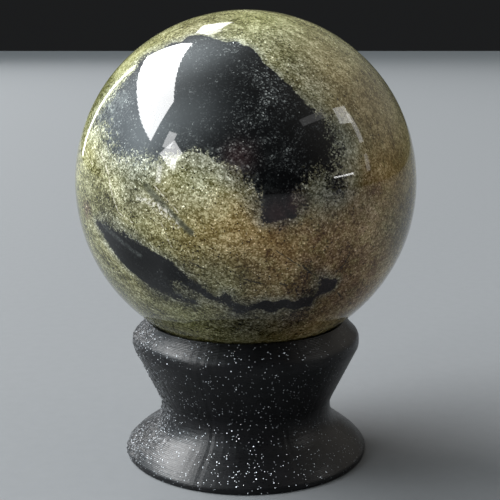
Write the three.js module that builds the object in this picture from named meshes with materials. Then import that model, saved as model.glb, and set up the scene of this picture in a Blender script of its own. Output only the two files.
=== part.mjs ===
// A polished stone ball resting in the dish of a waisted, round display stand.
// Millimetres, +Z up. The origin is the centre of the stand's flat underside.

import * as THREE from "three";

// The ball
const BALL_RADIUS = 30;
const BALL_ROWS = 32; // facets from pole to pole

// The seat: the round edge at the top of the stand that the ball rests against
const SEAT_RADIUS = 17.8;
const SEAT_GAP = 0.3; // between the ball and the dish under it

// The stand's top, above the surface that it stands on
const STAND_HEIGHT = 24.9;

// The rim: a bevel that falls away from the seat, with an upright band under it
const RIM_WIDTH = 2.8;
const RIM_BEVEL_DROP = 2.8;
const RIM_BAND_HEIGHT = 1.8;
const RIM_ROUNDING = 1.6;

// The neck, where the rim's taper and the foot's slope meet before they are rounded
const NECK_RADIUS = 14.3;
const NECK_HEIGHT = 7.3;
const NECK_ROUNDING = 4.7;

// The foot: a sloping shoulder that steepens outwards, over a short upright edge
const FOOT_RADIUS = 22.15;
const FOOT_EDGE_HEIGHT = 1;
const FOOT_EDGE_ROUNDING = 0.8;
const UNDERSIDE_ROUNDING = 0.35;
const SHOULDER_INSET = 1.2; // from the foot's outside in to the shoulder's corner
const SHOULDER_RISE = 1.3; // from the foot's upright edge up to the shoulder's corner
const SHOULDER_ROUNDING = 13;

// How finely round shapes are cut into facets
const ROUND_FACETS = 60; // round the stand and the ball
const DISH_STEPS = 8; // from the dish's lowest point up to the seat
const ARC_STEP = THREE.MathUtils.degToRad(9); // along a rounded corner

// Finishes
const STONE = { color: 0x6d6a49, roughness: 0.12, metalness: 0 };
const PLASTIC = { color: 0x131415, roughness: 0.42, metalness: 0 };

// The dish is part of a sphere round the ball's own centre, and ends at the seat.
const DISH_RADIUS = BALL_RADIUS + SEAT_GAP;
const BALL_CENTRE_HEIGHT = STAND_HEIGHT + Math.sqrt(DISH_RADIUS ** 2 - SEAT_RADIUS ** 2);

/** The dish's profile, from its lowest point on the axis up to the seat's edge. */
function dishPoints() {
  const seatAngle = Math.asin(SEAT_RADIUS / DISH_RADIUS);
  const points = [];
  for (let step = 0; step <= DISH_STEPS; step += 1) {
    const angle = (seatAngle * step) / DISH_STEPS;
    const height = BALL_CENTRE_HEIGHT - DISH_RADIUS * Math.cos(angle);
    points.push(new THREE.Vector2(DISH_RADIUS * Math.sin(angle), height));
  }
  return points;
}

/** The stand's outer corners from rim to underside, before any of them is rounded. */
function outerCorners() {
  const rimRadius = SEAT_RADIUS + RIM_WIDTH;
  const rimTop = STAND_HEIGHT - RIM_BEVEL_DROP;
  const shoulderHeight = FOOT_EDGE_HEIGHT + SHOULDER_RISE;
  return [
    { radius: rimRadius, height: rimTop, rounding: RIM_ROUNDING },
    { radius: rimRadius, height: rimTop - RIM_BAND_HEIGHT, rounding: RIM_ROUNDING },
    { radius: NECK_RADIUS, height: NECK_HEIGHT, rounding: NECK_ROUNDING },
    { radius: FOOT_RADIUS - SHOULDER_INSET, height: shoulderHeight, rounding: SHOULDER_ROUNDING },
    { radius: FOOT_RADIUS, height: FOOT_EDGE_HEIGHT, rounding: FOOT_EDGE_ROUNDING },
    { radius: FOOT_RADIUS, height: 0, rounding: UNDERSIDE_ROUNDING },
  ];
}

/** Points on the arc that rounds the corner between two straight runs. */
function roundedCorner(before, corner, after, rounding) {
  const toBefore = before.clone().sub(corner);
  const toAfter = after.clone().sub(corner);
  // No arc may use up more than half of the shorter run beside it.
  const room = Math.min(toBefore.length(), toAfter.length()) / 2;
  toBefore.normalize();
  toAfter.normalize();
  const halfAngle = Math.acos(toBefore.dot(toAfter)) / 2;
  const setBack = Math.min(rounding / Math.tan(halfAngle), room);
  const arcRadius = setBack * Math.tan(halfAngle);
  const bisector = toBefore.clone().add(toAfter).normalize();
  const centre = corner.clone().addScaledVector(bisector, arcRadius / Math.sin(halfAngle));
  const start = corner.clone().addScaledVector(toBefore, setBack).sub(centre);
  const end = corner.clone().addScaledVector(toAfter, setBack).sub(centre);
  const turn = Math.atan2(start.cross(end), start.dot(end));
  const steps = Math.max(2, Math.ceil(Math.abs(turn) / ARC_STEP));
  const points = [];
  for (let step = 0; step <= steps; step += 1) {
    const arm = start.clone().rotateAround(new THREE.Vector2(), (turn * step) / steps);
    points.push(arm.add(centre));
  }
  return points;
}

/** The stand's whole profile: dish, rim, neck, foot and underside, back to the axis. */
function standProfile() {
  const dish = dishPoints();
  const corners = outerCorners();
  const places = corners.map(({ radius, height }) => new THREE.Vector2(radius, height));
  const runs = [dish[dish.length - 1], ...places, new THREE.Vector2(0, 0)];
  const outside = corners.flatMap(({ rounding }, index) =>
    roundedCorner(runs[index], runs[index + 1], runs[index + 2], rounding),
  );
  return [...dish, ...outside, new THREE.Vector2(0, 0)];
}

/** The stand, turned round the Z axis. */
function makeStand() {
  // The profile runs from the top down, so it is reversed to make the faces point out.
  const geometry = new THREE.LatheGeometry(standProfile().reverse(), ROUND_FACETS);
  geometry.rotateX(Math.PI / 2);
  const stand = new THREE.Mesh(geometry, new THREE.MeshStandardMaterial(PLASTIC));
  stand.name = "printed_stand";
  return stand;
}

/** The ball, with its poles on the Z axis, above the dish that it rests in. */
function makeBall() {
  const geometry = new THREE.SphereGeometry(BALL_RADIUS, ROUND_FACETS, BALL_ROWS);
  geometry.rotateX(Math.PI / 2);
  const ball = new THREE.Mesh(geometry, new THREE.MeshStandardMaterial(STONE));
  ball.name = "stone_ball";
  ball.position.z = BALL_CENTRE_HEIGHT;
  return ball;
}

const decorativeSphere = new THREE.Group();
decorativeSphere.add(makeStand(), makeBall());

export default decorativeSphere;
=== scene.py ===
from math import cos, pi, radians, sin

import bmesh
import bpy
import numpy as np
from mathutils import Euler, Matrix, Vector


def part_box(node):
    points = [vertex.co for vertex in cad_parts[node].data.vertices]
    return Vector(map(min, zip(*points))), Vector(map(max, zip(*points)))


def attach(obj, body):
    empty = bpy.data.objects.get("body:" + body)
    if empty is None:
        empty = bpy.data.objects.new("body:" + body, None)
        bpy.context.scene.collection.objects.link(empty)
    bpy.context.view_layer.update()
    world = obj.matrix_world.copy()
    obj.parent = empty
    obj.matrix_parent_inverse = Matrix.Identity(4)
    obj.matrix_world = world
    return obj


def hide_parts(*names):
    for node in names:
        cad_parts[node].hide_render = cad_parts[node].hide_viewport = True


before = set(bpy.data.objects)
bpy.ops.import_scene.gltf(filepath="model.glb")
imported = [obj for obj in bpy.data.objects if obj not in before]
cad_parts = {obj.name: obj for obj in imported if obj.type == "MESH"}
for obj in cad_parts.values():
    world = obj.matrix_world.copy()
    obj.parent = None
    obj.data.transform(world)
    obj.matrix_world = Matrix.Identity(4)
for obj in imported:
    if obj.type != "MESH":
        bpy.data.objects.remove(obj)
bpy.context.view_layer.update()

MM = 0.001
SEED = 7

# The frame gives the ball's centre and radius, and the stand's profile.
BALL_LOW, BALL_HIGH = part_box("stone_ball")
BALL_CENTRE = (BALL_LOW + BALL_HIGH) / 2
BALL_RADIUS = (BALL_HIGH.z - BALL_LOW.z) / 2
BALL_RADIUS_MM = BALL_RADIUS / MM

# The ball's mesh: a cube of square cells blown up to a sphere, with shallow waves in it. It is drawn in by a
# multiple of the waviness, so that hardly any wave rises out of the true sphere.
BALL_CELLS = 124
BALL_WAVES = 26
BALL_WAVE_LENGTHS_MM = (9.0, 22.0)
BALL_WAVINESS_MM = 0.012
WAVES_BELOW = 2

# The stand's mesh: flat facets round it and printed layers up it
PRINT_FACETS = 180
LAYER_HEIGHT_MM = 0.2
LAYER_ROWS = 4
LAYER_GROOVE_MM = 0.03
FACET_UNEVEN_MM = 0.012
DRIFT_MM = 0.012
GRAIN_MM = 0.007

# A place inside the profile, as shares of its width and height, that its points are sorted round, and the
# steps along the outer wall in which the layers' radii are looked up
PROFILE_INSIDE = (0.35, 0.4)
PROFILE_STEPS = 6000

# A drop of plastic on the foot's edge, and the crusted side: its angle, half its width, its lumps' height,
# how low and how high they go in that measure, and how many rows of the mesh a lump spans
BLOB_ANGLE = 184
BLOB_HEIGHT_MM = 2.4
BLOB_MM = 0.5
BLOB_HALF_ANGLE = 2
BLOB_HALF_HEIGHT_MM = 0.5
CRUST_ANGLE = 189
CRUST_SPREAD = 24
CRUST_MM = 0.12
LUMP_RANGE = (-0.4, 2.2)
LUMP_ROWS = 6

# The photograph's camera: where it stands, how far it looks down and how far past the object's axis
CAMERA_DISTANCE_MM = 176.8
CAMERA_ABOVE_BALL_MM = 23.9
CAMERA_DOWN = 11.55
CAMERA_RIGHT = 0.23
SENSOR_MM = 36.0
LENS_MM = 72.0
PHOTO_PIXELS = 500
CAMERA_RANGE = (0.01, 40.0)
CAMERA_PLACE_MM = Vector((0, -CAMERA_DISTANCE_MM, CAMERA_ABOVE_BALL_MM))
CAMERA_TURN = Euler((radians(90 - CAMERA_DOWN), 0, radians(-CAMERA_RIGHT)))

# Outlines of the black mineral on the side that the photograph shows, as corners in its pixels
BLACK_PATCH = [
    (206, 36), (197, 35), (187, 37), (181, 42), (171, 43), (162, 49), (153, 52), (146, 55), (139, 61),
    (135, 69), (124, 81), (114, 93), (103, 108), (94, 121), (98, 125), (105, 124), (108, 137), (112, 148),
    (122, 157), (131, 155), (138, 158), (146, 156), (156, 161), (167, 155), (182, 153), (192, 150),
    (201, 151), (209, 154), (216, 159), (229, 166), (237, 169), (243, 175), (249, 181), (255, 189),
    (260, 197), (262, 211), (262, 221), (266, 223), (276, 222), (287, 219), (295, 217), (297, 210),
    (294, 198), (305, 186), (311, 177), (321, 171), (332, 175), (337, 168), (338, 150), (335, 138),
    (329, 126), (321, 116), (315, 110), (308, 105), (302, 99), (289, 85), (283, 80), (273, 70), (267, 66),
    (262, 60), (252, 48), (243, 45), (239, 42), (233, 41), (226, 42), (216, 39),
]
BLACK_STREAK = [
    (96, 221), (105, 223), (111, 227), (119, 230), (132, 238), (144, 246), (160, 255), (172, 262),
    (184, 273), (190, 279), (203, 287), (209, 293), (220, 297), (223, 293), (229, 295), (234, 302),
    (242, 305), (248, 306), (258, 303), (265, 300), (273, 302), (286, 299), (292, 302), (298, 300),
    (306, 297), (313, 297), (317, 293), (320, 281), (323, 277), (331, 279), (338, 280), (336, 285),
    (331, 291), (320, 295), (314, 299), (311, 306), (304, 307), (295, 310), (286, 308), (280, 309),
    (276, 312), (268, 312), (260, 309), (248, 311), (243, 314), (233, 312), (231, 307), (225, 304),
    (215, 301), (209, 300), (203, 295), (191, 289), (180, 283), (174, 281), (173, 286), (176, 292),
    (185, 298), (195, 301), (194, 303), (186, 301), (173, 297), (161, 292), (150, 286), (136, 276),
    (126, 267), (117, 257), (108, 244), (101, 232), (98, 227),
]
BLACK_SPOT = [
    (330, 178), (333, 175), (340, 176), (345, 181), (345, 187), (342, 194), (338, 190), (331, 186),
]
SHOWN_OUTLINES = [BLACK_PATCH, BLACK_STREAK, BLACK_SPOT]

# Outlines on the sides that the photograph doesn't show, plainer: azimuth and elevation on the ball in
# degrees, with azimuth 0 at the front and growing to the right
BACK_BAND = [
    (-118, 34), (-108, 36), (-100, 26), (-104, 17), (-96, 12), (-93, 2), (-101, -4), (-106, -14),
    (-112, -15), (-116, -6), (-121, -3), (-118, 6), (-126, 10), (-122, 17), (-133, 24), (-130, 33),
]
BACK_PATCH = [
    (158, 41), (166, 44), (174, 35), (186, 30), (188, 21), (196, 12), (183, 6), (178, -4), (168, -2),
    (160, -8), (152, 4), (141, 8), (143, 16), (150, 22), (147, 31),
]
BACK_VEIN = [
    (-132, -18), (-141, -24), (-152, -27), (-163, -34), (-174, -36), (-166, -39), (-153, -33),
    (-142, -29), (-134, -25),
]
SIDE_STREAK = [
    (80, -14), (88, -10), (95, -12), (104, -9), (113, -14), (120, -16), (129, -25), (141, -33),
    (136, -36), (124, -30), (117, -31), (108, -25), (99, -25), (91, -19),
]
HIDDEN_OUTLINES = [BACK_BAND, BACK_PATCH, BACK_VEIN, SIDE_STREAK]

# How far black and pale grains mix across an outline, in millimetres, and where they mix farther: azimuth,
# elevation, radius in millimetres and how far
SHARP_EDGE_MM = 0.22
SOFT_EDGES = [
    (-56, 26, 8, 2.6), (-48, 17, 7, 2.8), (-36, 13, 6, 2.4), (-52, 46, 5, 1.0), (-26, 14, 4, 1.6),
    (-13, 14, 5, 0.8), (-4, 11, 4, 1.1), (2, 6, 4, 1.3), (19, 10, 5, 2.0), (28, 15, 6, 3.0),
    (27, 23, 4, 1.6), (-46, -9, 4, 0.9), (-40, -11, 4, 0.6), (-24, -26, 4, 0.7), (-5, -30, 3, 0.5),
    (24, -22, 2.5, 0.6), (-112, -12, 7, 1.8), (-128, 28, 8, 2.2), (-97, 8, 6, 1.0), (150, 8, 9, 2.8),
    (170, 38, 8, 1.4), (185, 15, 8, 1.6), (130, -32, 7, 1.4), (92, -15, 7, 1.2), (-150, -30, 8, 1.0),
]
SPLINE_STEPS = 5
DEEPEST_MM = 6.0

# Soft stains in the stone, and painted shade and sheen laid out like them (marked below): azimuth,
# elevation, radius in millimetres and strength
TAN_STAINS = [
    (7, -10, 13, 1.0), (18, -16, 11, 0.9), (30, -8, 11, 0.9), (-3, -6, 8, 0.6), (40, 30, 13, 0.8),
    (47, 10, 12, 0.8), (42, -30, 12, 0.9), (30, -42, 9, 0.8), (110, 20, 15, 0.8), (170, -35, 14, 0.8),
    (-150, -20, 10, 0.6),
]
GREY_GREEN_STAINS = [
    (8, 52, 7, 0.6), (17, 44, 6, 0.6), (24, 34, 5, 0.6), (29, 20, 5, 0.9), (24, 4, 4, 0.8),
    (-7, 10, 4, 0.7), (-13, 9, 5, 0.7), (-34, 10, 5, 0.7), (140, 40, 9, 0.7),
]
GREEN_STAINS = [
    (-90, 30, 16, 1.0), (-90, -10, 16, 1.0), (-75, -35, 12, 0.8), (180, 75, 16, 0.5), (20, 70, 9, 0.7),
    (85, 50, 14, 0.7), (-8, -24, 5, 0.6), (-20, -38, 9, 0.6), (120, -5, 14, 0.6), (-150, 10, 12, 0.4),
]
RUST_STAINS = [
    (14.5, 1.0, 1.8, 1.0), (9, -1.5, 2.4, 0.8), (-2, 15, 2.6, 0.6), (21, -8, 3.0, 0.45),
    (42, 4, 2.6, 0.5), (34, -24, 12, 0.5), (36, -6, 9, 0.35), (-61, -5, 1.5, 0.7), (47, -35, 6, 0.4),
    (23, -20.5, 1.6, 0.5), (20, -39, 3, 0.5), (125, -30, 5, 0.5),
]
# Pale stains: mostly pale mineral, but the two at azimuth -60 and -58, on the black mineral's left side near
# the window's reflection, paint a bluish sheen there
PALE_AND_SHEEN_STAINS = [
    (-26.5, 1.0, 1.6, 1.0), (-23.5, -2.0, 1.6, 1.0), (-34.5, 11, 2.4, 0.9), (-31, 9.5, 2.0, 0.8),
    (-46, 10, 4.0, 0.5), (1, 4, 4, 0.4), (-3, 9, 4, 0.3), (-15, 9, 5, 0.5), (-60, 20, 6, 0.5),
    (-58, 28, 5, 0.8), (0, -16, 4, 0.4), (-150, 45, 6, 0.5), (90, 45, 5, 0.5),
]
# Darkening stains: mostly painted shade on the ball's lower part, its left side and its window-lit back,
# which the pale floor and the window light strongly; some small ones are darker stone
DARK_STONE_AND_SHADE_STAINS = [
    (2, -40, 8, 1.0), (-8, -34, 5, 0.6), (16, -40, 6, 0.9), (20, -20, 3, 0.5), (-24, 0, 1.0, 0.4),
    (-20, -28, 5, 0.85), (-11, -21, 5, 0.6), (-2, -23, 6, 0.5), (63, -9, 8, 0.5), (-36, 1, 5, 0.6),
    (-27, 1, 5, 0.45), (-32, -28, 5, 0.8), (-18, -20, 4, 0.6), (4, 2, 3, 0.5), (22, -29, 4, 0.7),
    (-76, 8, 9, 0.5), (-76, -14, 12, 0.65), (-62, -30, 12, 0.6), (-45, -42, 9, 0.5), (-56, -4, 10, 0.6),
    (-48, -4, 6, 0.75), (-36, -10, 5, 0.5), (-25, -14, 4, 0.4), (24, 3, 5, 0.5), (16, 3, 3, 0.7),
    (36, 1, 5, 0.35), (-1, 9, 3, 0.4), (-14, 14, 3, 0.35), (12, -4, 2.5, 0.5), (20, 4, 4, 0.35),
    (-30, 62, 9, 0.45), (-42, -6, 9, 0.35), (30, -12, 6, 0.15), (-75, 30, 9, 0.35), (36, -34, 8, 0.4),
    (24, 40, 7, 0.5), (34, 52, 12, 0.4), (42, 32, 9, 0.35), (58, 40, 10, 0.2), (33, 24, 5, 0.3),
    (-50, 22, 8, 0.25), (-40, 4, 7, 0.22), (-24, -4, 8, 0.12), (100, 30, 8, 0.4), (-115, 10, 20, 0.75),
    (-112, 52, 13, 0.6), (-150, 25, 22, 0.75), (-150, -20, 20, 0.65), (180, 60, 18, 0.65),
    (160, -40, 9, 0.6),
]
# Where the stone is smoother and more translucent than elsewhere
SMOOTH_STAINS = [
    (47, 32, 10, 0.8), (56, 10, 13, 0.9), (62, -20, 13, 0.8), (35, 52, 8, 0.8), (30, 68, 8, 0.8),
    (-15, 70, 7, 0.7), (-85, 0, 9, 0.8), (-75, -35, 9, 0.6), (-78, 40, 9, 0.8), (10, -50, 6, 0.7),
    (36, -40, 7, 0.6), (130, 0, 15, 0.7), (-160, 50, 12, 0.6),
]

# Where the black mineral has few pale specks
CLEAN_STAINS = [
    (-38, -18, 9, 1.0), (-22, -22, 6, 1.0), (5, -32, 9, 1.0), (22, -30, 6, 1.0), (24, 20, 8, 0.8),
    (10, 4, 7, 0.8), (-20, 34, 9, 0.75), (-16, 20, 6, 0.5), (100, -20, 12, 1.0), (170, 25, 8, 0.8),
]
STAINS = {
    "clean": CLEAN_STAINS, "soft_edge": SOFT_EDGES, "tan": TAN_STAINS, "grey_green": GREY_GREEN_STAINS,
    "green": GREEN_STAINS, "rust": RUST_STAINS, "pale": PALE_AND_SHEEN_STAINS, "dark": DARK_STONE_AND_SHADE_STAINS,
    "smooth": SMOOTH_STAINS,
}

# Thin lines in the stone, and how far and how often they waver: two ends in the photograph's pixels and half
# the width in millimetres
LINE_WOBBLE_MM = 0.5
WOBBLES_PER_MM = 1.2
DARK_LINES = [
    ((176, 300), (198, 304), 0.14), ((303, 266), (312, 274), 0.12), ((280, 284), (286, 285), 0.12),
    ((336, 272), (345, 264), 0.1), ((345, 264), (350, 252), 0.08), ((276, 250), (300, 266), 0.08),
    ((338, 293), (341, 297), 0.12), ((240, 278), (262, 284), 0.08), ((190, 262), (206, 270), 0.08),
]
PALE_LINES = [
    ((101, 152), (108, 172), 0.1), ((108, 172), (112, 195), 0.1), ((112, 195), (118, 212), 0.08),
    ((118, 212), (133, 223), 0.08), ((85, 150), (93, 166), 0.09), ((153, 184), (164, 197), 0.08),
    ((164, 197), (178, 212), 0.08), ((161, 222), (172, 248), 0.08),
]
FISSURES = [((146, 186), (166, 208), 0.5), ((166, 208), (191, 233), 0.42)]
CRYSTAL_CHAINS = [
    ((138, 198), (152, 203), 0.35), ((152, 203), (166, 213), 0.6), ((166, 213), (177, 225), 0.45),
]
GREY_STREAKS = [
    ((104, 226), (122, 242), 0.45), ((122, 242), (140, 256), 0.4), ((176, 292), (192, 299), 0.3),
]

# The stone's grain: how many grains there are to a millimetre, how far grains and fibres are drawn out, two
# places on the ball between which the fibres run, the power that makes bright grains rarer, the mean that it
# leaves, and how far wide clouds, grains and fine grains stray from the mean brightness
GRAINS_PER_MM = 2.9
FINE_GRAINS_PER_MM = 4.6
GRAIN_STRETCH = 1.4
FIBRE_STRETCH = 2.2
FIBRE_ENDS = ((-55, -7), (-5, -30))
GRAIN_POWER = 1.6
GRAIN_MEAN = 0.38
CLOUD_SWING = 1.1
GRAIN_SWING = 0.17
FINE_SWING = 0.35

# The stone's colours, as the 0 to 255 numbers that a picture shows
OLIVE = (135, 132, 86)
LIGHT_OLIVE = (153, 147, 101)
TAN = (162, 132, 77)
GREEN = (126, 129, 77)
GREY_GREEN = (148, 150, 124)
RUST = (104, 64, 52)
FROST = (150, 152, 142)
FISSURE = (72, 73, 60)
CRYSTAL = (222, 216, 204)
CRACK = (26, 24, 18)
PALE_VEIN = (212, 204, 190)
BLACK_MINERAL = (10, 11, 12)
RUSTY_BLACK = (58, 34, 34)
# The veil's colour is partly a painted bluish sheen on the black mineral
VEIL_AND_SHEEN = (152, 158, 154)
GREY_STREAK = (118, 122, 118)
PIT = (6, 6, 7)

# The plastic's and the floor's colours, two of each to drift between, the flakes' colour, and half the
# floor's width in metres
PLASTIC_TONES = ((10, 10, 11), (18, 18, 20))
FLAKE = (214, 218, 222)
FLOOR_TONES = ((98, 100, 102), (104, 106, 108))
FLOOR_HALF_WIDTH = 14.0

# The stand's glitter, coarse and small: cells to a millimetre, the share of them that holds a flake, how
# much larger that share is in the crust, and a flake's radius as a share of a cell. Then how far flakes lean
COARSE_FLAKES = (2.4, 0.045, 0.35, 0.27)
SMALL_FLAKES = (4.2, 0.07, 0.4, 0.4)
FLAKE_LEAN = 2.3

# The main light, a slanted window: height above its middle and how far it reaches back and forward there,
# per metre of distance, and how many level slices stand in for it
LIGHT_DISTANCE = 4.0
WINDOW_AT = (-107, 46)
WINDOW_RADIANCE = 19.0
WINDOW_OUTLINE = [
    (-0.28, 0.66, 0.67), (-0.24, 0.35, 0.65), (-0.21, 0.17, 0.635), (-0.18, -0.03, 0.62),
    (-0.16, -0.31, 0.61), (-0.13, -0.6, 0.59), (-0.02, -0.55, 0.52), (0.13, -0.485, 0.41),
    (0.17, -0.465, 0.19), (0.2, -0.44, 0.0), (0.23, -0.42, -0.21), (0.26, -0.4, -0.38),
]
WINDOW_SLICES = 54

# The smaller lights, by where they stand as seen from the ball: azimuth, elevation, width and height per
# metre of distance, turn about the line of sight in degrees, radiance
SOFT_BOXES = {
    "window_top": (-166, 45.5, 0.165, 0.155, 52, 7.0),
    "window_top_end": (-161.5, 51, 0.09, 0.13, 7, 7.0),
    "wedge_top": (-56.5, 28.5, 0.1, 0.16, -3, 9.0),
    "wedge": (-52, 21.5, 0.185, 0.195, -38, 12.5),
    "wedge_tip": (-48.5, 16, 0.065, 0.11, -1, 14.0),
    "streak": (-57.5, 9, 0.06, 0.17, 0, 8.0),
    "strip_back": (-142, 14, 0.05, 0.5, 0, 9.0),
    "right_head": (84, 35.5, 0.175, 0.16, -16, 4.2),
    "right_tail": (88, 27, 0.065, 0.26, -6, 3.0),
    "right_low": (86.5, 10, 0.06, 0.14, 0, 1.6),
    "right_far": (57, 42, 0.3, 0.08, 0, 0.8),
    "slit": (66, 7, 0.26, 0.014, 0, 14.0),
}
# The sky: its light at the horizon and from 45 degrees up, its tint, and soft glows in it, by azimuth,
# elevation, how tightly the glow is drawn together, and colour
SKY_LOW = 0.012
SKY_HIGH = 0.075
SKY_TINT = (0.96, 1.0, 1.04)
GLOWS = [
    (-108, 27, 14.0, (1.8, 2.1, 2.3)), (-77, 26, 22.0, (3.8, 4.4, 4.7)),
    (-52, 44, 18.0, (1.6, 1.85, 1.95)), (-120, 62, 20.0, (2.5, 2.85, 3.0)),
    (112, 30, 3.0, (0.5, 0.47, 0.42)),
]


def on_ball(azimuth, elevation):
    """The direction from the ball's centre to a place on it."""
    a, e = radians(azimuth), radians(elevation)
    return np.array([sin(a) * cos(e), -cos(a) * cos(e), sin(e)])


def shown_at(x, y):
    """The direction from the ball's centre to the place on it that a pixel of the photograph shows."""
    spread = LENS_MM / SENSOR_MM * PHOTO_PIXELS
    half = PHOTO_PIXELS / 2
    ray = CAMERA_TURN.to_matrix() @ Vector(((x - half) / spread, (half - y) / spread, -1)).normalized()
    along = -CAMERA_PLACE_MM.dot(ray)
    depth = BALL_RADIUS_MM ** 2 - CAMERA_PLACE_MM.length_squared + along ** 2
    return np.array(CAMERA_PLACE_MM + ray * (along - depth ** 0.5)) / BALL_RADIUS_MM


def unit(vectors):
    """Vectors drawn out or in to length 1."""
    return vectors / np.linalg.norm(vectors, axis=-1, keepdims=True)


def flattened(directions, centre):
    """Directions as millimetres on a sheet that touches the ball at the centre and is true from there."""
    right = unit(np.cross([0.0, 0.0, 1.0], -centre))
    up = np.cross(-centre, right)
    along = np.clip(directions @ centre, -1, 1)
    turn = np.arccos(along)
    flat = np.stack([directions @ -right, directions @ -up], axis=-1)
    length = np.maximum(np.linalg.norm(flat, axis=-1), 1e-9)
    return flat * (turn / length * BALL_RADIUS_MM)[..., None]


def smooth_loop(corners):
    """A closed Catmull-Rom curve through the corners, with a few steps between each two."""
    before, at = np.roll(corners, 1, axis=0), corners
    after, later = np.roll(corners, -1, axis=0), np.roll(corners, -2, axis=0)
    rows = []
    for t in np.arange(SPLINE_STEPS) / SPLINE_STEPS:
        rows.append(
            0.5 * (2 * at + (after - before) * t
                   + (2 * before - 5 * at + 4 * after - later) * t ** 2
                   + (3 * at - before - 3 * after + later) * t ** 3)
        )
    return np.stack(rows, axis=1).reshape(-1, corners.shape[1])


def signed_distance(places, loop):
    """How far inside the loop each place is, in millimetres."""
    best = np.full(len(places), np.inf)
    inside = np.zeros(len(places), bool)
    for a, b in zip(loop, np.roll(loop, -1, axis=0)):
        run = b - a
        share = np.clip((places - a) @ run / max(run @ run, 1e-9), 0, 1)
        best = np.minimum(best, np.linalg.norm(places - a - share[:, None] * run, axis=1))
        crosses = (a[1] > places[:, 1]) != (b[1] > places[:, 1])
        rise = run[1] if abs(run[1]) > 1e-9 else 1e-9
        inside ^= crosses & (places[:, 0] < a[0] + (places[:, 1] - a[1]) / rise * run[0])
    return np.where(inside, best, -best)


def black_depth(directions):
    """How far inside the nearest black outline each direction is, in millimetres."""
    outlines = [[shown_at(*corner) for corner in outline] for outline in SHOWN_OUTLINES]
    outlines += [[on_ball(*corner) for corner in outline] for outline in HIDDEN_OUTLINES]
    depth = np.full(len(directions), -DEEPEST_MM)
    for outline in outlines:
        corners = np.array(outline)
        centre = unit(corners.mean(axis=0))
        loop = smooth_loop(flattened(corners, centre))
        reach = (np.linalg.norm(loop, axis=1).max() + DEEPEST_MM) / BALL_RADIUS_MM
        near = np.flatnonzero(directions @ centre > cos(min(reach, pi * 0.9)))
        found = signed_distance(flattened(directions[near], centre), loop)
        depth[near] = np.maximum(depth[near], found)
    return np.clip(depth, -DEEPEST_MM, DEEPEST_MM)


def stain(directions, spots):
    """How strong a set of soft stains is at each direction."""
    total = np.zeros(len(directions))
    for azimuth, elevation, radius, strength in spots:
        turn = np.arccos(np.clip(directions @ on_ball(azimuth, elevation), -1, 1))
        total = np.maximum(total, strength * np.exp(-((turn * BALL_RADIUS_MM / radius) ** 2)))
    return total


def ball_directions():
    """Even directions over a sphere and the quads between them, from a cube's grid."""
    bm = bmesh.new()
    bmesh.ops.create_cube(bm, size=2)
    bmesh.ops.subdivide_edges(bm, edges=bm.edges[:], cuts=BALL_CELLS - 1, use_grid_fill=True)
    bmesh.ops.recalc_face_normals(bm, faces=bm.faces[:])
    mesh = bpy.data.meshes.new("stone_ball_surface")
    bm.to_mesh(mesh)
    bm.free()
    corners = np.empty(len(mesh.vertices) * 3)
    mesh.vertices.foreach_get("co", corners)
    return mesh, unit(np.tan(corners.reshape(-1, 3) * pi / 4))


def hand_ground(directions):
    """The slight waviness that grinding leaves, in millimetres below a true sphere."""
    random = np.random.default_rng(SEED)
    total = np.zeros(len(directions))
    for _ in range(BALL_WAVES):
        way = unit(random.normal(size=3))
        length = random.uniform(*BALL_WAVE_LENGTHS_MM)
        phase = random.uniform(0, 2 * pi)
        total += np.sin(directions @ way * BALL_RADIUS_MM * 2 * pi / length + phase)
    return (total / BALL_WAVES ** 0.5 - WAVES_BELOW) * BALL_WAVINESS_MM


def add_field(mesh, name, values):
    """A number for each point of the mesh, for its material to read."""
    mesh.attributes.new(name, "FLOAT", "POINT").data.foreach_set("value", values.astype(np.float32))


def new_object(name, data):
    """A new object in the scene that shows the mesh, light or camera."""
    obj = bpy.data.objects.new(name, data)
    bpy.context.scene.collection.objects.link(obj)
    return obj


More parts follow.
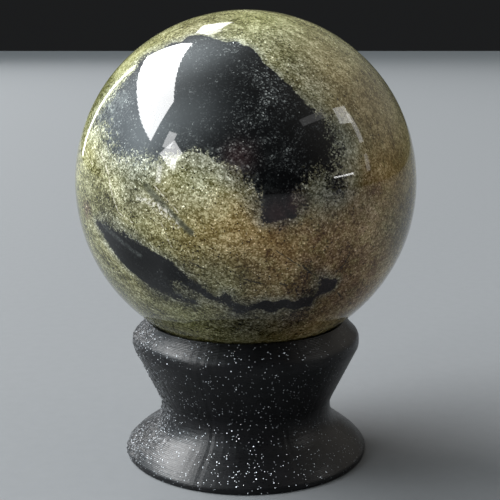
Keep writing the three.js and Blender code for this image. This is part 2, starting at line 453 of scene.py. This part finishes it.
class Nodes:
    """Short names for the few kinds of shader node that a material or the sky uses."""

    def __init__(self, owner):
        owner.use_nodes = True
        self.owner, self.tree = owner, owner.node_tree

    def put(self, socket, value):
        """Link a socket to the value, or set it."""
        if isinstance(value, bpy.types.NodeSocket):
            self.tree.links.new(value, socket)
        else:
            socket.default_value = value

    def maths(self, operation, a, b=0.0, c=0.0, clamp=False):
        node = self.tree.nodes.new("ShaderNodeMath")
        node.operation, node.use_clamp = operation, clamp
        for socket, value in zip(node.inputs, (a, b, c)):
            self.put(socket, value)
        return node.outputs[0]

    def vector(self, operation, a, b=(0.0, 0.0, 0.0)):
        node = self.tree.nodes.new("ShaderNodeVectorMath")
        node.operation = operation
        self.put(node.inputs[0], a)
        self.put(node.inputs[3 if operation == "SCALE" else 1], b)
        return node.outputs[1 if operation in ("LENGTH", "DISTANCE", "DOT_PRODUCT") else 0]

    def field(self, name):
        """A number that the mesh keeps for each point."""
        node = self.tree.nodes.new("ShaderNodeAttribute")
        node.attribute_name = name
        return node.outputs["Fac"]

    def place_mm(self):
        """The place on the object in millimetres."""
        node = self.tree.nodes.new("ShaderNodeTexCoord")
        return self.vector("SCALE", node.outputs["Object"], 1 / MM)

    def noise(self, place, scale, detail=3.0, roughness=0.55):
        node = self.tree.nodes.new("ShaderNodeTexNoise")
        inputs = {"Vector": place, "Scale": scale, "Detail": detail, "Roughness": roughness}
        for name, value in inputs.items():
            self.put(node.inputs[name], value)
        return node.outputs["Fac"]

    def cells(self, place, scale):
        """Voronoi cells: distance, and three random numbers of the cell, apart and as a colour."""
        node = self.tree.nodes.new("ShaderNodeTexVoronoi")
        self.put(node.inputs["Vector"], place)
        self.put(node.inputs["Scale"], scale)
        split = self.tree.nodes.new("ShaderNodeSeparateColor")
        self.put(split.inputs[0], node.outputs["Color"])
        return node.outputs["Distance"], tuple(split.outputs), node.outputs["Color"]

    def span(self, value, low, high, to_low=0.0, to_high=1.0, smooth=False):
        """The value, moved from one range to another and held inside it."""
        node = self.tree.nodes.new("ShaderNodeMapRange")
        node.interpolation_type = "SMOOTHSTEP" if smooth else "LINEAR"
        for socket, number in zip(node.inputs, (value, low, high, to_low, to_high)):
            self.put(socket, number)
        return node.outputs[0]

    def mix(self, share, a, b):
        """Colour a, with a share of colour b."""
        node = self.tree.nodes.new("ShaderNodeMix")
        node.data_type = "RGBA"
        self.put(node.inputs[0], share)
        self.put(node.inputs[6], a)
        self.put(node.inputs[7], b)
        return node.outputs[2]

    def shade(self, colour, light):
        """A colour made darker or lighter by a number."""
        return self.vector("SCALE", colour, light)

    def linear(self, colour):
        """A colour in picture numbers as linear light, never below black."""
        node = self.tree.nodes.new("ShaderNodeGamma")
        self.put(node.inputs["Color"], self.vector("MAXIMUM", colour, (0.01, 0.01, 0.01)))
        node.inputs["Gamma"].default_value = 2.2
        return node.outputs[0]

    def stretched(self, place, way, factor):
        """The place, with everything drawn out along one way."""
        node = self.tree.nodes.new("ShaderNodeMapping")
        node.vector_type = "TEXTURE"
        self.put(node.inputs["Vector"], place)
        node.inputs["Rotation"].default_value = Vector(way).to_track_quat("X", "Z").to_euler()
        node.inputs["Scale"].default_value = (factor, 1.0, 1.0)
        return node.outputs[0]

    def lines(self, place, lines):
        """1 on thin straight lines on the ball's surface, fading to 0 beside them."""
        total = 0.0
        middle = np.array(BALL_CENTRE) / MM + LINE_WOBBLE_MM / 2
        wobble = self.vector("SCALE", self.noise_colour(place, WOBBLES_PER_MM), LINE_WOBBLE_MM)
        moved = self.vector("ADD", place, wobble)
        for start, end, half_width in lines:
            a = shown_at(*start) * BALL_RADIUS_MM + middle
            run = shown_at(*end) * BALL_RADIUS_MM + middle - a
            from_a = self.vector("SUBTRACT", moved, tuple(a))
            along = self.vector("DOT_PRODUCT", from_a, tuple(run))
            share = self.maths("DIVIDE", along, float(run @ run), clamp=True)
            nearest = self.vector("SCALE", tuple(run), share)
            gap = self.vector("DISTANCE", from_a, nearest)
            line = self.span(gap, half_width * 0.6, half_width * 1.6, 1.0, 0.0)
            total = self.maths("MAXIMUM", line, total)
        return total

    def noise_colour(self, place, scale):
        """Noise with three numbers, as a colour."""
        node = self.tree.nodes.new("ShaderNodeTexNoise")
        self.put(node.inputs["Vector"], place)
        self.put(node.inputs["Scale"], scale)
        return node.outputs["Color"]

    def bump(self, height, strength, distance_mm):
        node = self.tree.nodes.new("ShaderNodeBump")
        node.inputs["Strength"].default_value = strength
        node.inputs["Distance"].default_value = distance_mm * MM
        self.put(node.inputs["Height"], height)
        return node.outputs[0]

    def surface(self, **values):
        """The material, with these values on its Principled shader."""
        for name, value in values.items():
            socket = self.tree.nodes["Principled BSDF"].inputs[name.replace("_", " ")]
            self.put(socket, value)
        return self.owner


def linear_part(part):
    """One part of a colour in picture numbers, 0 to 255, as linear light."""
    share = part / 255
    return share / 12.92 if share < 0.0404 else ((share + 0.055) / 1.055) ** 2.4


def rgb(red, green, blue):
    """A colour in picture numbers as linear light."""
    return (linear_part(red), linear_part(green), linear_part(blue), 1.0)


def shown(red, green, blue):
    """A colour in picture numbers, left as it is."""
    return (red / 255, green / 255, blue / 255, 1.0)


def black_cover(n, place, depth, jitter, fine_jitter):
    """Where the stone is black: the drawn outlines, made ragged, with grains mixed across their edges."""
    reach = n.maths("MULTIPLY_ADD", n.field("soft_edge"), 1.4, SHARP_EDGE_MM)
    shift = n.maths("MULTIPLY", n.maths("SUBTRACT", n.noise(place, 1.3, 5.0, 0.65), 0.5), 1.9)
    shift = n.maths("MULTIPLY_ADD", n.maths("SUBTRACT", jitter, 0.5), 0.5, shift)
    shift = n.maths("MULTIPLY_ADD", n.maths("SUBTRACT", fine_jitter, 0.5), 0.75, shift)
    edge = n.maths("MULTIPLY_ADD", shift, reach, depth)
    frost = n.span(n.maths("DIVIDE", depth, n.maths("ADD", reach, 0.4)), -2.5, 0.0, smooth=True)
    blur = n.maths("MULTIPLY_ADD", n.field("soft_edge"), 0.5, 0.08)
    return n.span(edge, n.maths("MULTIPLY", blur, -1.0), blur, smooth=True), frost


def pale_colour(n, place, frost):
    """The olive, tan and green stone's colour before its grain, darkened where the dark field lays painted
    shade.
    """
    mottle = n.noise(place, 0.5, 4.0, 0.7)
    patches = n.noise(place, 0.14, 4.0, 0.6)
    colour = n.mix(n.span(patches, 0.35, 0.65), shown(*OLIVE), shown(*LIGHT_OLIVE))
    tan = n.maths("MULTIPLY", n.field("tan"), n.span(mottle, 0.25, 0.5, 0.6, 1.0))
    colour = n.mix(tan, colour, shown(*TAN))
    colour = n.mix(n.maths("MULTIPLY", n.field("green"), 0.85), colour, shown(*GREEN))
    colour = n.mix(n.field("grey_green"), colour, shown(*GREY_GREEN))
    rust = n.maths("MULTIPLY", n.field("rust"), n.span(mottle, 0.3, 0.6))
    colour = n.mix(rust, colour, shown(*RUST))
    colour = n.mix(n.maths("MULTIPLY", frost, 0.5), colour, shown(*FROST))
    # The dark field is mostly painted shade: it darkens the stone's colour down to 0.38
    return n.shade(colour, n.span(n.field("dark"), 0.0, 1.0, 1.0, 0.38))


def pale_stone(n, place, fibre, grain, fine, fine_gap, fine_kind, frost):
    """The pale stone, with grains, crystals and cracks that are mostly lighter or darker."""
    calm = n.span(n.field("smooth"), 0.0, 1.0, 1.0, 0.62)
    # The grain stays a little calmer under the dark field's painted shade
    calm = n.maths("MULTIPLY", calm, n.span(n.field("dark"), 0.0, 1.0, 1.0, 0.9))
    clouds = n.maths("MULTIPLY", n.maths("SUBTRACT", n.noise(fibre, 0.13, 5.0, 1.0), 0.5), CLOUD_SWING)
    swing, fine_swing = (
        n.maths("SUBTRACT", n.maths("POWER", grains, GRAIN_POWER), GRAIN_MEAN) for grains in (grain, fine)
    )
    swing = n.maths("MULTIPLY_ADD", fine_swing, FINE_SWING, n.maths("MULTIPLY", swing, GRAIN_SWING))
    crystals = n.maths("LESS_THAN", fine_kind, n.maths("MULTIPLY_ADD", n.field("pale"), 0.2, 0.035))
    crystals = n.maths("MULTIPLY", crystals, n.span(fine_gap, 0.4, 0.7, 0.3, 0.0))
    least = n.span(n.noise(place, 0.45, 3.0), 0.42, 0.66, 0.985, 0.89)
    specks = n.maths("GREATER_THAN", fine_kind, least)
    specks = n.maths("MULTIPLY", specks, n.span(fine_gap, 0.4, 0.7, 0.34, 0.0))
    swing = n.maths("ADD", swing, n.maths("SUBTRACT", crystals, specks))
    swing = n.maths("MULTIPLY_ADD", swing, calm, clouds)
    colour = n.vector("ADD", pale_colour(n, place, frost), n.shade((1.0, 1.0, 1.0), swing))

    fissure = n.maths("MULTIPLY", n.lines(place, FISSURES), 0.75)
    colour = n.mix(fissure, colour, n.shade(shown(*FISSURE)[:3], n.span(grain, 0.0, 1.0, 0.7, 1.3)))
    gaps = n.span(n.noise(place, 2.0, 3.0, 0.8), 0.46, 0.54)
    chain = n.maths("MULTIPLY", n.lines(place, CRYSTAL_CHAINS), gaps)
    colour = n.mix(n.maths("MULTIPLY", chain, 0.85), colour, shown(*CRYSTAL))
    colour = n.mix(n.maths("MULTIPLY", n.lines(place, DARK_LINES), 0.75), colour, shown(*CRACK))
    faint = n.span(n.noise(place, 1.6, 2.0), 0.35, 0.6, 0.25, 0.9)
    return n.mix(n.maths("MULTIPLY", n.lines(place, PALE_LINES), faint), colour, shown(*PALE_VEIN))


def black_stone(n, place, fine, fine_gap, fine_kind):
    """The black mineral's colour, with clouds of fine grey specks, a few bright ones and a pale veil that is
    partly painted sheen.
    """
    clean = n.field("clean")
    colour = n.mix(n.maths("MULTIPLY", n.field("rust"), 0.8), shown(*BLACK_MINERAL), shown(*RUSTY_BLACK))
    clouds = n.maths("SUBTRACT", n.noise(place, 0.22, 6.0, 0.85), n.maths("MULTIPLY", clean, 0.06))
    clouds = n.span(clouds, 0.44, 0.66)
    specks = n.maths("MULTIPLY", n.maths("POWER", fine, 5.0), n.span(clouds, 0.0, 1.0, 0.25, 1.0))
    glow = n.maths("MULTIPLY_ADD", clouds, 0.13, n.maths("MULTIPLY", specks, 0.66))
    stars = n.maths("LESS_THAN", fine_kind, 0.003)
    stars = n.maths("MULTIPLY", stars, n.span(fine_gap, 0.3, 0.6, 0.6, 0.0))
    glow = n.maths("MULTIPLY", n.maths("ADD", glow, stars), n.span(clean, 0.0, 1.0, 1.0, 0.35))
    colour = n.vector("ADD", colour, n.shade((0.98, 1.0, 0.97), glow))
    # A pale veil where the pale field is: pale mineral in the black, and on its left side a painted bluish
    # sheen
    veil_and_sheen = n.span(n.noise(place, 0.7, 5.0, 0.8), 0.42, 0.62, 0.0, 0.9)
    veil_and_sheen = n.maths("MULTIPLY", n.field("pale"), veil_and_sheen)
    colour = n.mix(veil_and_sheen, colour, shown(*VEIL_AND_SHEEN))
    streaks = n.span(n.noise(place, 2.0, 4.0, 0.8), 0.35, 0.7)
    streaks = n.maths("MULTIPLY", n.lines(place, GREY_STREAKS), streaks)
    return n.mix(n.maths("MULTIPLY", streaks, 0.7), colour, shown(*GREY_STREAK))


def stone():
    """Granular olive and tan stone with black patches, polished."""
    n = Nodes(bpy.data.materials.new("polished_stone"))
    place = n.place_mm()
    start, end = (on_ball(*spot) for spot in FIBRE_ENDS)
    fibre_way = tuple(unit(end - start))
    fibre = n.stretched(place, fibre_way, FIBRE_STRETCH)
    grain_place = n.stretched(place, fibre_way, GRAIN_STRETCH)
    depth = n.field("black_depth")
    grain_gap, (grain, kind, jitter), _ = n.cells(grain_place, GRAINS_PER_MM)
    fine_gap, (fine, fine_kind, fine_jitter), _ = n.cells(place, FINE_GRAINS_PER_MM)

    black, frost = black_cover(n, place, depth, jitter, fine_jitter)
    pale = pale_stone(n, place, fibre, grain, fine, fine_gap, fine_kind, frost)
    colour = n.linear(n.mix(black, pale, black_stone(n, place, fine, fine_gap, fine_kind)))
    pits = n.maths("LESS_THAN", kind, 0.01)
    pits = n.maths("MULTIPLY", pits, n.span(grain_gap, 0.25, 0.45, 1.0, 0.0))
    colour = n.mix(pits, colour, rgb(*PIT))
    return n.surface(
        Base_Color=colour,
        Roughness=n.span(n.noise(place, 0.5, 3.0), 0.3, 0.7, 0.42, 0.56),
        Normal=n.bump(n.maths("SUBTRACT", n.maths("MULTIPLY", grain, 0.1), pits), 0.3, 0.04),
        IOR=1.5,
        Specular_IOR_Level=0.04,
        Coat_Weight=n.span(n.field("clean"), 0.75, 1.0, 0.9, 0.6),
        Coat_Roughness=0.03,
        Coat_IOR=1.5,
    )


def stone_ball():
    """The ball, with its stone pattern's outlines kept as fields on its points."""
    mesh, directions = ball_directions()
    reach = BALL_RADIUS_MM + hand_ground(directions)
    places = directions * reach[:, None] * MM + np.array(BALL_CENTRE)
    mesh.vertices.foreach_set("co", places.ravel())
    add_field(mesh, "black_depth", black_depth(directions))
    for name, spots in STAINS.items():
        add_field(mesh, name, stain(directions, spots))
    mesh.shade_smooth()
    mesh.materials.append(stone())
    ball = new_object("stone_ball_polished", mesh)
    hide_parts("stone_ball")
    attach(ball, "root")


def stand_profile():
    """The stand's profile in millimetres, from the dish's lowest point over the rim to the underside."""
    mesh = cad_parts["printed_stand"].data
    places = np.array([v.co for v in mesh.vertices]) / MM
    radii = np.hypot(places[:, 0], places[:, 1])
    profile = np.unique(np.round(np.column_stack([radii, places[:, 2]]), 3), axis=0)
    from_inside = profile - PROFILE_INSIDE * profile.max(axis=0)
    around = np.arctan2(from_inside[:, 0], from_inside[:, 1])
    return profile[np.argsort((around + pi / 2) % (2 * pi))]


def printed_profile():
    """The profile's rows with printed layers on the outer wall: radius, height and 1 on the wall."""
    profile = stand_profile()
    seat = int(np.argmax(profile[:, 1]))
    dish, wall = profile[:seat], profile[seat:]
    runs = np.r_[0, np.cumsum(np.linalg.norm(np.diff(wall, axis=0), axis=1))]
    along = np.linspace(0, runs[-1], PROFILE_STEPS)
    radius, height = np.interp(along, runs, wall[:, 0]), np.interp(along, runs, wall[:, 1])
    levels = np.arange(wall[0, 1], LAYER_HEIGHT_MM / 2, -LAYER_HEIGHT_MM / LAYER_ROWS)
    rows = []
    for index, level in enumerate(levels):
        at = int(np.argmax(height <= level + 1e-9))
        share = index % LAYER_ROWS / LAYER_ROWS
        rows.append((radius[at] - LAYER_GROOVE_MM * (1 - sin(pi * share)), level, 1))
    foot = wall[(wall[:, 1] < LAYER_HEIGHT_MM / 2) & (wall[:, 0] > 1e-6)]
    top = [(r, z, 0) for r, z in dish if r > 1e-6]
    return dish[0, 1], np.array(top + rows + [(r, z, 0) for r, z in foot])


def glitter(n, place, crust, scale, share, crust_share, size):
    """Silver flakes: 1 on a share of the cells, and how far each flake leans away from the surface."""
    gap, (pick, _, _), colour = n.cells(place, scale)
    flake = n.maths("LESS_THAN", pick, n.maths("MULTIPLY_ADD", crust, crust_share, share))
    flake = n.maths("MULTIPLY", flake, n.span(gap, size * 0.7, size, 1.0, 0.0))
    return flake, n.vector("SCALE", n.vector("SUBTRACT", colour, (0.5, 0.5, 0.5)), FLAKE_LEAN)


def black_plastic():
    """Black printed plastic with silver glitter in it."""
    n = Nodes(bpy.data.materials.new("glitter_plastic"))
    place = n.place_mm()
    flat = n.vector("MULTIPLY", place, (1.0, 1.0, 0.0))
    crust_way = (cos(radians(CRUST_ANGLE)), sin(radians(CRUST_ANGLE)), 0.0)
    crust = n.span(n.vector("DOT_PRODUCT", n.vector("NORMALIZE", flat), crust_way), 0.86, 0.98)
    crust = n.maths("MULTIPLY", crust, n.span(n.noise(place, 0.8, 4.0, 0.7), 0.4, 0.6))
    coarse, coarse_tilt = glitter(n, place, crust, *COARSE_FLAKES)
    small, small_tilt = glitter(n, place, crust, *SMALL_FLAKES)
    flakes = n.maths("MAXIMUM", coarse, n.maths("MULTIPLY", small, 0.7))
    cloud = n.noise(place, 0.3, 3.0)
    dark, light = (rgb(*tone) for tone in PLASTIC_TONES)
    base = n.mix(n.span(cloud, 0.35, 0.65), dark, light)
    rough = n.noise(n.vector("MULTIPLY", place, (1.0, 1.0, 4.0)), 1.2, 3.0)
    height = n.noise(n.vector("MULTIPLY", place, (1.0, 1.0, 3.0)), 4.0, 3.0)
    tilt = n.vector("ADD", n.vector("SCALE", coarse_tilt, coarse), n.vector("SCALE", small_tilt, small))
    normal = n.vector("NORMALIZE", n.vector("ADD", n.bump(height, 0.3, 0.03), tilt))
    return n.surface(
        Base_Color=n.mix(flakes, base, rgb(*FLAKE)),
        Metallic=flakes,
        Roughness=n.maths("MULTIPLY_ADD", flakes, 0.32, n.span(rough, 0.3, 0.7, 0.26, 0.38)),
        Normal=normal,
        IOR=1.5,
        Specular_IOR_Level=0.24,
    )


def crust_lumps(random, angles, count):
    """Small lumps on the stand's crusted side, for each row and angle."""
    coarse = np.clip(random.normal(0, 1, (count // LUMP_ROWS + 2, len(angles))), *LUMP_RANGE)
    at, share = np.divmod(np.arange(count) / LUMP_ROWS, 1)
    at = at.astype(int)
    lumps = coarse[at] * (1 - share[:, None]) + coarse[at + 1] * share[:, None]
    return lumps * np.exp(-(((np.degrees(angles) - CRUST_ANGLE) / CRUST_SPREAD) ** 2))


def facet_unevenness(random, count):
    """How far each facet strays from its true radius, for each row and facet, in millimetres."""
    drift = np.cumsum(random.normal(0, 1, (count, PRINT_FACETS)), axis=0)
    drift -= np.linspace(0, 1, count)[:, None] * drift[-1:]
    drift /= drift.std()
    facets = FACET_UNEVEN_MM * random.normal(0, 1, PRINT_FACETS) + DRIFT_MM * drift
    return facets + GRAIN_MM * random.normal(0, 1, drift.shape)


def plastic_drop(angles, heights):
    """The drop of plastic on the foot, for each row and angle, in millimetres."""
    across = (angles - radians(BLOB_ANGLE)) / radians(BLOB_HALF_ANGLE)
    up = (heights - BLOB_HEIGHT_MM) / BLOB_HALF_HEIGHT_MM
    return BLOB_MM * np.exp(-across ** 2 - up ** 2)


def turned_faces(count):
    """The faces of a turned shape of so many rows, with a first and a last point on its axis."""
    columns = [(j, (j + 1) % PRINT_FACETS) for j in range(PRINT_FACETS)]
    faces = [(0, 1 + p, 1 + q) for p, q in columns]
    for i in range(count - 1):
        a, b = 1 + i * PRINT_FACETS, 1 + (i + 1) * PRINT_FACETS
        faces += [(a + p, b + p, b + q, a + q) for p, q in columns]
    tail = 1 + (count - 1) * PRINT_FACETS
    last = 1 + count * PRINT_FACETS
    return faces + [(tail + q, tail + p, last) for p, q in columns]


def keep_facets_sharp(mesh):
    """Make the edges that run down between two facets sharp."""
    ends = np.empty(len(mesh.edges) * 2, int)
    mesh.edges.foreach_get("vertices", ends)
    column = (ends.reshape(-1, 2) - 1) % PRINT_FACETS
    sharp = mesh.attributes.new("sharp_edge", "BOOLEAN", "EDGE")
    sharp.data.foreach_set("value", column[:, 0] == column[:, 1])


def printed_stand():
    """The stand as printed: flat facets round it, rounded layers up it."""
    dish_low, rows = printed_profile()
    count, heights, on_wall = len(rows), rows[:, 1:2], rows[:, 2:]
    random = np.random.default_rng(SEED)
    angles = np.arange(PRINT_FACETS) * 2 * pi / PRINT_FACETS
    radii = rows[:, :1] - np.abs(facet_unevenness(random, count)) * on_wall
    radii += plastic_drop(angles, heights)
    radii += CRUST_MM * crust_lumps(random, angles, count) * on_wall
    places = np.stack([radii * np.cos(angles), radii * np.sin(angles), heights + 0 * radii], axis=-1)
    points = np.concatenate([[(0, 0, dish_low)], places.reshape(-1, 3), [(0, 0, 0)]]) * MM
    mesh = bpy.data.meshes.new("printed_stand_surface")
    mesh.from_pydata(points.tolist(), [], turned_faces(count))
    mesh.shade_smooth()
    keep_facets_sharp(mesh)
    mesh.materials.append(black_plastic())
    stand = new_object("printed_stand_layers", mesh)
    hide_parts("printed_stand")
    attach(stand, "root")


def soft_box(name, azimuth, elevation, width, height, turn, radiance, across=0.0, up=0.0):
    """A rectangular light that faces the ball, or lies across and up from there in the same plane."""
    data = bpy.data.lights.new(name, "AREA")
    data.shape = "RECTANGLE"
    data.size, data.size_y = width * LIGHT_DISTANCE, height * LIGHT_DISTANCE
    data.energy = radiance * pi * data.size * data.size_y
    away = Vector(on_ball(azimuth, elevation))
    aim = away.to_track_quat("Z", "Y")
    light = new_object(name, data)
    light.location = BALL_CENTRE + (away + aim @ Vector((across, up, 0))) * LIGHT_DISTANCE
    light.rotation_euler = aim.to_euler()
    light.rotation_euler.rotate_axis("Z", radians(turn))


def window():
    """The window, in level slices so thin that its slanted edges look smooth."""
    heights, back, forward = np.array(WINDOW_OUTLINE).T
    edges = np.linspace(heights[0], heights[-1], WINDOW_SLICES + 1)
    for number, (low, high) in enumerate(zip(edges, edges[1:])):
        up = (low + high) / 2
        a, b = np.interp(up, heights, back), np.interp(up, heights, forward)
        shape = (b - a, high - low, 0, WINDOW_RADIANCE)
        soft_box(f"window_{number}", *WINDOW_AT, *shape, across=(a + b) / 2, up=up)


def sky():
    """A dim sky that brightens upwards. Its soft glows light the object but don't show in the backdrop."""
    world = bpy.data.worlds.new("studio_sky")
    n = Nodes(world)
    way = n.tree.nodes.new("ShaderNodeTexCoord").outputs["Generated"]
    up = n.vector("DOT_PRODUCT", way, (0.0, 0.0, 1.0))
    light = n.span(up, 0.02, 0.7, SKY_LOW, SKY_HIGH, smooth=True)
    colour = n.vector("SCALE", SKY_TINT, light)
    ray = n.tree.nodes.new("ShaderNodeLightPath")
    unseen = n.maths("SUBTRACT", 1.0, ray.outputs["Is Camera Ray"])
    for azimuth, elevation, tightness, glow in GLOWS:
        near = n.vector("DOT_PRODUCT", way, tuple(on_ball(azimuth, elevation)))
        near = n.maths("MAXIMUM", near, 0.0)
        near = n.maths("MULTIPLY", n.maths("POWER", near, tightness), n.span(up, -0.02, 0.25))
        near = n.maths("MULTIPLY", near, unseen)
        colour = n.vector("ADD", colour, n.vector("SCALE", glow, near))
    n.put(n.tree.nodes["Background"].inputs["Color"], colour)
    return world


def floor():
    """A pale, matt floor that the stand is on."""
    far = FLOOR_HALF_WIDTH
    mesh = bpy.data.meshes.new("studio_floor")
    mesh.from_pydata([(-far, -far, 0), (far, -far, 0), (far, far, 0), (-far, far, 0)], [], [(0, 1, 2, 3)])
    n = Nodes(bpy.data.materials.new("floor_paint"))
    dark, light = (rgb(*tone) for tone in FLOOR_TONES)
    speckle = n.noise(n.place_mm(), 0.4, 4.0)
    mesh.materials.append(n.surface(Base_Color=n.mix(speckle, dark, light), Roughness=0.8))
    new_object("studio_floor", mesh)


def studio():
    """The floor, the lights and the sky."""
    floor()
    window()
    for name, values in SOFT_BOXES.items():
        soft_box(name, *values)
    bpy.context.scene.world = sky()
    bpy.context.scene.view_settings.view_transform = "Standard"


def photo_camera():
    """The camera as it stood for the photograph."""
    data = bpy.data.cameras.new("photo_camera")
    data.sensor_width, data.lens = SENSOR_MM, LENS_MM
    data.clip_start, data.clip_end = CAMERA_RANGE
    camera = new_object("photo_camera", data)
    camera.location = BALL_CENTRE + CAMERA_PLACE_MM * MM
    camera.rotation_euler = CAMERA_TURN
    bpy.context.scene.camera = camera


stone_ball()
printed_stand()
studio()
photo_camera()
